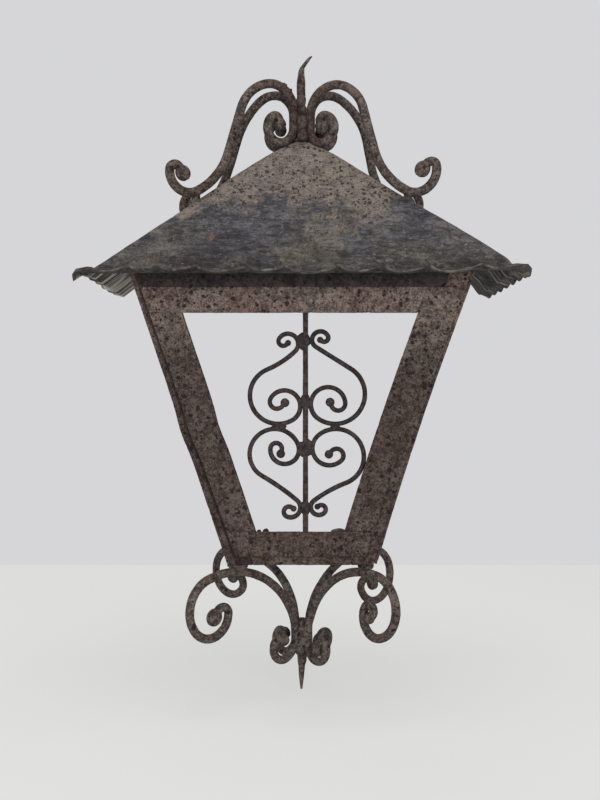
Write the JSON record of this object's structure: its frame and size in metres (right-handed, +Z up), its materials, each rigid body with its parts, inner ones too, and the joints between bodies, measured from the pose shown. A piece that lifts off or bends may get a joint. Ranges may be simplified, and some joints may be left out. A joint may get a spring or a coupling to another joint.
{
  "type": "wall lantern",
  "caption": "Half lantern of wrought iron for a wall: hipped sheet roof with a ruffled edge, tapered open body, scroll grilles and forged arms above and below.",
  "frame": {"origin": "midway between the two wall screws, on the wall's surface", "axes": "+Z up, +Y into the wall, so the lantern's front faces -Y; +X to the right as seen from the front"},
  "size_m": [0.368, 0.188, 0.5682],
  "materials": {
    "wrought_iron": "dark brown rust over forged bar, pitted",
    "strip_iron": "brown rust over flat bar, pitted",
    "roof_sheet": "weathered sheet, blue-grey streaks over brown",
    "dark_bar": "sooty, nearly black",
    "brass": "dull, tarnished",
    "porcelain": "white glaze"
  },
  "bodies": {
    "root": {"roof": "roof_sheet", "top_spike": "wrought_iron", "spike_foot": "wrought_iron", "spike_nut": "wrought_iron", "top_arm_front_left": "wrought_iron", "top_arm_front_right": "wrought_iron", "top_arm_rear_left": "wrought_iron", "top_arm_rear_right": "wrought_iron", "post_front_left": "wrought_iron", "post_front_right": "wrought_iron", "post_rear_left": "wrought_iron", "post_rear_right": "wrought_iron", "top_bar_front": "dark_bar", "top_bar_left": "wrought_iron", "top_bar_right": "wrought_iron", "bottom_bar_front": "wrought_iron", "bottom_bar_left": "wrought_iron", "bottom_bar_right": "wrought_iron", "bottom_bar_rear": "wrought_iron", "front_stile_left": "strip_iron", "front_stile_right": "strip_iron", "front_rail_top": "strip_iron", "front_rail_bottom": "strip_iron", "left_stile_front": "strip_iron", "left_stile_rear": "strip_iron", "left_rail_top": "strip_iron", "left_rail_bottom": "strip_iron", "right_stile_front": "strip_iron", "right_stile_rear": "strip_iron", "right_rail_top": "strip_iron", "right_rail_bottom": "strip_iron", "front_grille_bar": "wrought_iron", "front_scroll_upper_left": "wrought_iron", "front_scroll_upper_right": "wrought_iron", "front_scroll_lower_left": "wrought_iron", "front_scroll_lower_right": "wrought_iron", "left_grille_bar": "wrought_iron", "left_scrolls_upper": "wrought_iron", "left_scrolls_lower": "wrought_iron", "right_grille_bar": "wrought_iron", "right_scrolls_upper": "wrought_iron", "right_scrolls_lower": "wrought_iron", "glass_clips": "wrought_iron", "wall_strap": "wrought_iron", "strap_rivets": "wrought_iron", "bottom_arm_front_left": "wrought_iron", "bottom_arm_front_right": "wrought_iron", "bottom_arm_rear_left": "wrought_iron", "bottom_arm_rear_right": "wrought_iron", "bottom_spike": "wrought_iron", "lamp_bracket": "wrought_iron", "threaded_tube": "brass", "upper_lock_nut": "brass", "lower_lock_nut": "brass", "lampholder_body": "porcelain", "screw_shell": "brass", "centre_contact": "brass"}
  },
  "joints": []
}
